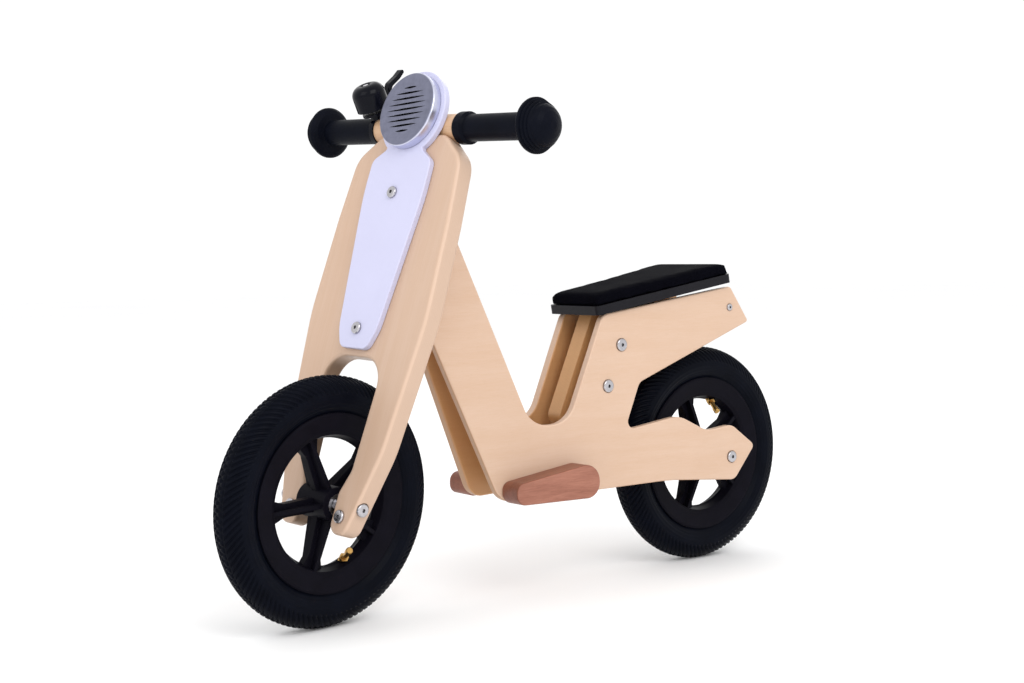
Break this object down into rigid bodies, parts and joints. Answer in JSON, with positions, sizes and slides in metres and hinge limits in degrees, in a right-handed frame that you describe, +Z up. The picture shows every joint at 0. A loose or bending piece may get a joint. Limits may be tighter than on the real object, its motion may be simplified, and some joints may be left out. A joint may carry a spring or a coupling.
{
  "type": "balance bike",
  "caption": "Child's wooden balance bike with a scooter-like front shield, pneumatic wheels, sliding padded seat, footrests, mushroom grips and a bell.",
  "frame": {"origin": "on the floor at the centre of the footprint, midway between the two tyres' contact points, on the frame's middle plane", "axes": "+X forward, +Y to the rider's left, +Z up; the bike stands upright on level ground with its handlebar turned 7 degrees to the left"},
  "size_m": [0.916, 0.431, 0.6722],
  "materials": {
    "plywood": "clear satin lacquer",
    "bar_wood": "turned hardwood, clear satin lacquer",
    "inner_wood": "planed hardwood, unstained",
    "footrest_wood": "stained hardwood with fine straight grain, satin",
    "shield_paint": "white semi-gloss paint on plywood",
    "satin_metal": "satin silver",
    "black_backing": "matt black",
    "grip_rubber": "moulded satin rubber",
    "tyre_rubber": "moulded black rubber with fine tread",
    "tube_rubber": "matt",
    "rim_plastic": "glass-filled black plastic, satin",
    "bearing_steel": "ground",
    "bolt_steel": "zinc plated, hex socket",
    "bracket_steel": "black powder coat",
    "nylon": "natural nylon",
    "brass": "turned",
    "seat_vinyl": "black vinyl over foam, satin",
    "bell_black": "gloss black"
  },
  "bodies": {
    "frame": {"side_panel_left": "plywood", "side_panel_right": "plywood", "head_block": "inner_wood", "head_bushings": "nylon", "head_dowels": "bar_wood", "tail_spacer": "inner_wood", "tail_screws": "bolt_steel", "bottom_spacer": "inner_wood", "footrest_left": "footrest_wood", "footrest_right": "footrest_wood", "footrest_screws": "bolt_steel", "seat_guides": "inner_wood", "seat_bolts": "bolt_steel", "seat_nuts": "bolt_steel", "rear_axle": "bolt_steel", "rear_axle_bolts": "bolt_steel", "rear_axle_spacers": "bolt_steel"},
    "seat": {"seat_post": "plywood", "seat_batten": "inner_wood", "seat_base": "seat_vinyl", "seat_cushion": "seat_vinyl", "seat_screws": "bolt_steel"},
    "rear_wheel": {"rear_rim": "rim_plastic", "rear_tyre": "tyre_rubber", "rear_tube": "tube_rubber", "rear_bearings": "bearing_steel", "rear_valve": "brass", "rear_valve_cap": "brass"},
    "fork": {"fork_plate": "plywood", "front_shield": "shield_paint", "shield_bolts": "bolt_steel", "shield_nuts": "bolt_steel", "lamp_cover": "satin_metal", "lamp_insert": "black_backing", "handlebar": "bar_wood", "handlebar_bolts": "bolt_steel", "grip_left": "grip_rubber", "grip_right": "grip_rubber", "steering_bracket_upper": "bracket_steel", "steering_bracket_lower": "bracket_steel", "bracket_screws": "bolt_steel", "steering_pin": "bolt_steel", "steering_nut": "bolt_steel", "front_axle": "bolt_steel", "front_axle_bolts": "bolt_steel", "front_axle_spacers": "bolt_steel", "leg_bolts": "bolt_steel", "leg_nuts": "bolt_steel", "bell_clamp": "bell_black", "bell_pin": "bolt_steel", "bell_dome": "bell_black", "bell_post": "bolt_steel"},
    "bell_lever": {"bell_lever": "bell_black"},
    "front_wheel": {"front_rim": "rim_plastic", "front_tyre": "tyre_rubber", "front_tube": "tube_rubber", "front_bearings": "bearing_steel", "front_valve": "brass", "front_valve_cap": "brass"}
  },
  "joints": [
    {"name": "steering", "type": "hinge", "parent": "frame", "child": "fork", "pos_m": [0.2801, 0, 0.14033], "axis": [-0.3223, 0, 0.9466], "range_deg": [-42, 28]},
    {"name": "front_wheel_spin", "type": "hinge", "parent": "fork", "child": "front_wheel", "pos_m": [0.30829, 0.00366, 0.14993], "axis": [-0.1154, 0.9925, -0.0393], "continuous": true},
    {"name": "rear_wheel_spin", "type": "hinge", "parent": "frame", "child": "rear_wheel", "pos_m": [-0.3085, 0, 0.15], "axis": [0, 1, 0], "continuous": true},
    {"name": "seat_slide", "type": "slide", "parent": "frame", "child": "seat", "axis": [-0.4067, 0, 0.9135], "range_m": [0, 0.04]},
    {"name": "bell_lever_press", "type": "hinge", "parent": "fork", "child": "bell_lever", "pos_m": [0.15344, -0.07868, 0.62707], "axis": [0.1154, -0.9925, 0.0393], "range_deg": [0, 12], "stiffness_Nm_per_rad": 0.3}
  ]
}
